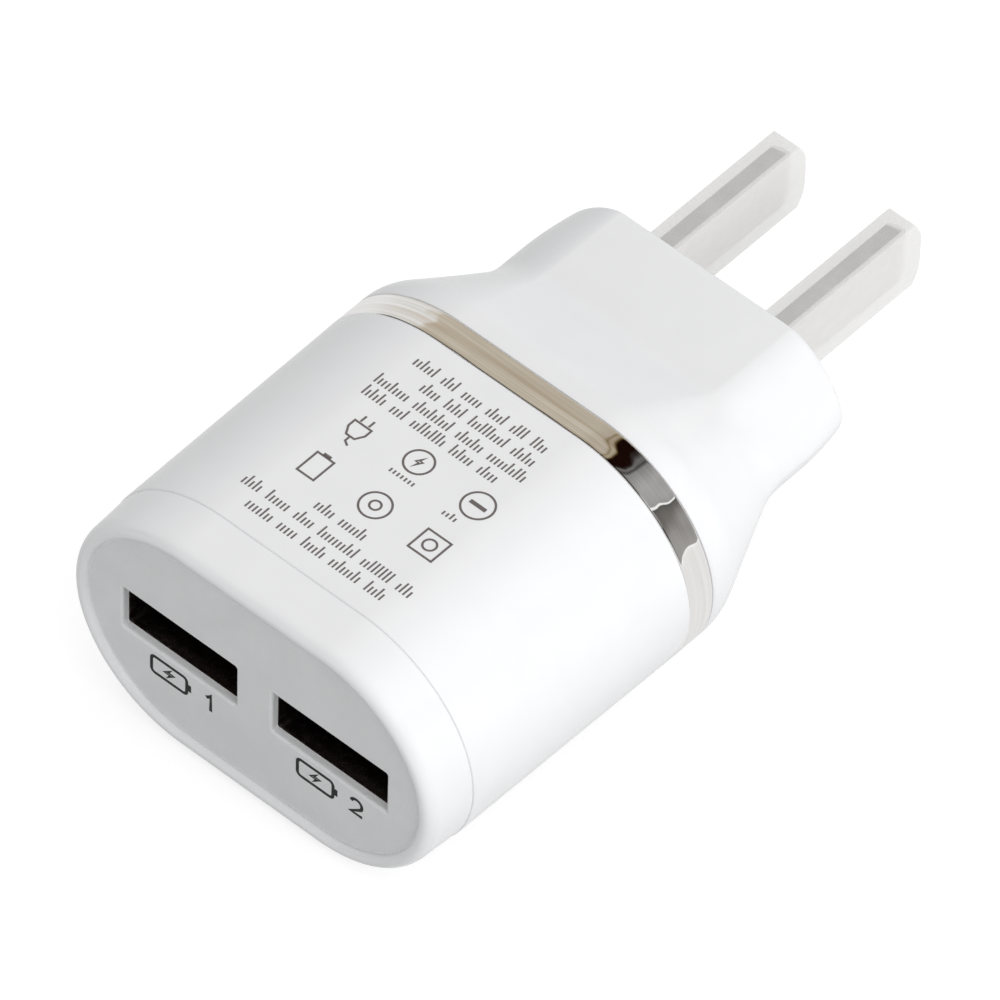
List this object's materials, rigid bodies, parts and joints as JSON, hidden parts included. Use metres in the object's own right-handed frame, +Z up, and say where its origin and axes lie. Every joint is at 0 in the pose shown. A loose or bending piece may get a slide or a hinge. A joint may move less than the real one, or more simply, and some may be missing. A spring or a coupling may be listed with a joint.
{
  "type": "usb wall charger",
  "caption": "White wall charger with a flared oval body, chrome band, USB-A outlets in a grey faceplate and flat mains blades under translucent pull-off sleeves.",
  "frame": {"origin": "centre of the wall face, between the blades", "axes": "+Y out of the wall face along the blades, +X across the two blades and the two ports, +Z up through the flat top"},
  "size_m": [0.0408, 0.0743, 0.025],
  "materials": {
    "white_plastic": "gloss",
    "faceplate_plastic": "fine satin texture",
    "chrome_trim": "mirror plated",
    "blade_metal": "nickel plated brass, fine brushed",
    "retainer_plastic": "moulded satin",
    "sleeve_plastic": "translucent frosted",
    "circuit_board": "solder mask over glass laminate",
    "contact_gold": "thin gold plating",
    "sheet": "polyester sheet",
    "tinned_metal": "tinned",
    "dark_plastic": "moulded satin",
    "ferrite": "sintered",
    "copper_wire": "enamelled copper",
    "tape": "polyester tape",
    "can_metal": "satin",
    "bulk_skin": "shrunk skin",
    "output_skin": "shrunk skin",
    "blue_dip": "dipped epoxy",
    "brown_dip": "dipped epoxy",
    "ceramic": "ceramic",
    "resistor_coat": "lacquer",
    "shrink_tube": "shrunk tube",
    "line_insulation": "extruded",
    "neutral_insulation": "extruded"
  },
  "bodies": {
    "charger": {"front_collar": "white_plastic", "faceplate": "faceplate_plastic", "main_shell": "white_plastic", "chrome_band": "chrome_trim", "rear_housing": "white_plastic", "blade_line": "blade_metal", "blade_neutral": "blade_metal", "blade_retainer": "retainer_plastic", "main_board": "circuit_board", "usb_board": "circuit_board", "board_link_pins": "contact_gold", "insulation_sheet": "sheet", "usb_shell_1": "tinned_metal", "usb_shell_2": "tinned_metal", "usb_insulator_1": "dark_plastic", "usb_insulator_2": "dark_plastic", "usb_contacts_1": "contact_gold", "usb_contacts_2": "contact_gold", "transformer_core_lower": "ferrite", "transformer_core_upper": "ferrite", "transformer_bobbin": "dark_plastic", "transformer_winding": "copper_wire", "transformer_tape": "tape", "transformer_pins": "tinned_metal", "bulk_capacitor_1": "can_metal", "bulk_capacitor_2": "can_metal", "bulk_sleeve_1": "bulk_skin", "bulk_sleeve_2": "bulk_skin", "output_capacitor": "can_metal", "output_sleeve": "output_skin", "filter_capacitor": "can_metal", "filter_sleeve": "output_skin", "y_capacitor": "blue_dip", "snubber_capacitor": "brown_dip", "choke_core": "ferrite", "choke_winding": "copper_wire", "bridge_rectifier": "dark_plastic", "controller_chip": "dark_plastic", "optocoupler": "dark_plastic", "output_diode": "dark_plastic", "charge_id_chip": "dark_plastic", "chip_resistors": "dark_plastic", "chip_capacitors": "ceramic", "fusible_resistor": "resistor_coat", "heat_shrink": "shrink_tube", "line_wire": "line_insulation", "neutral_wire": "neutral_insulation"},
    "line_cover": {"sleeve_line": "sleeve_plastic"},
    "neutral_cover": {"sleeve_neutral": "sleeve_plastic"}
  },
  "joints": [
    {"name": "line_cover_pull", "type": "slide", "parent": "charger", "child": "line_cover", "axis": [0, 1, 0], "range_m": [0, 0.022]},
    {"name": "neutral_cover_pull", "type": "slide", "parent": "charger", "child": "neutral_cover", "axis": [0, 1, 0], "range_m": [0, 0.022]}
  ]
}
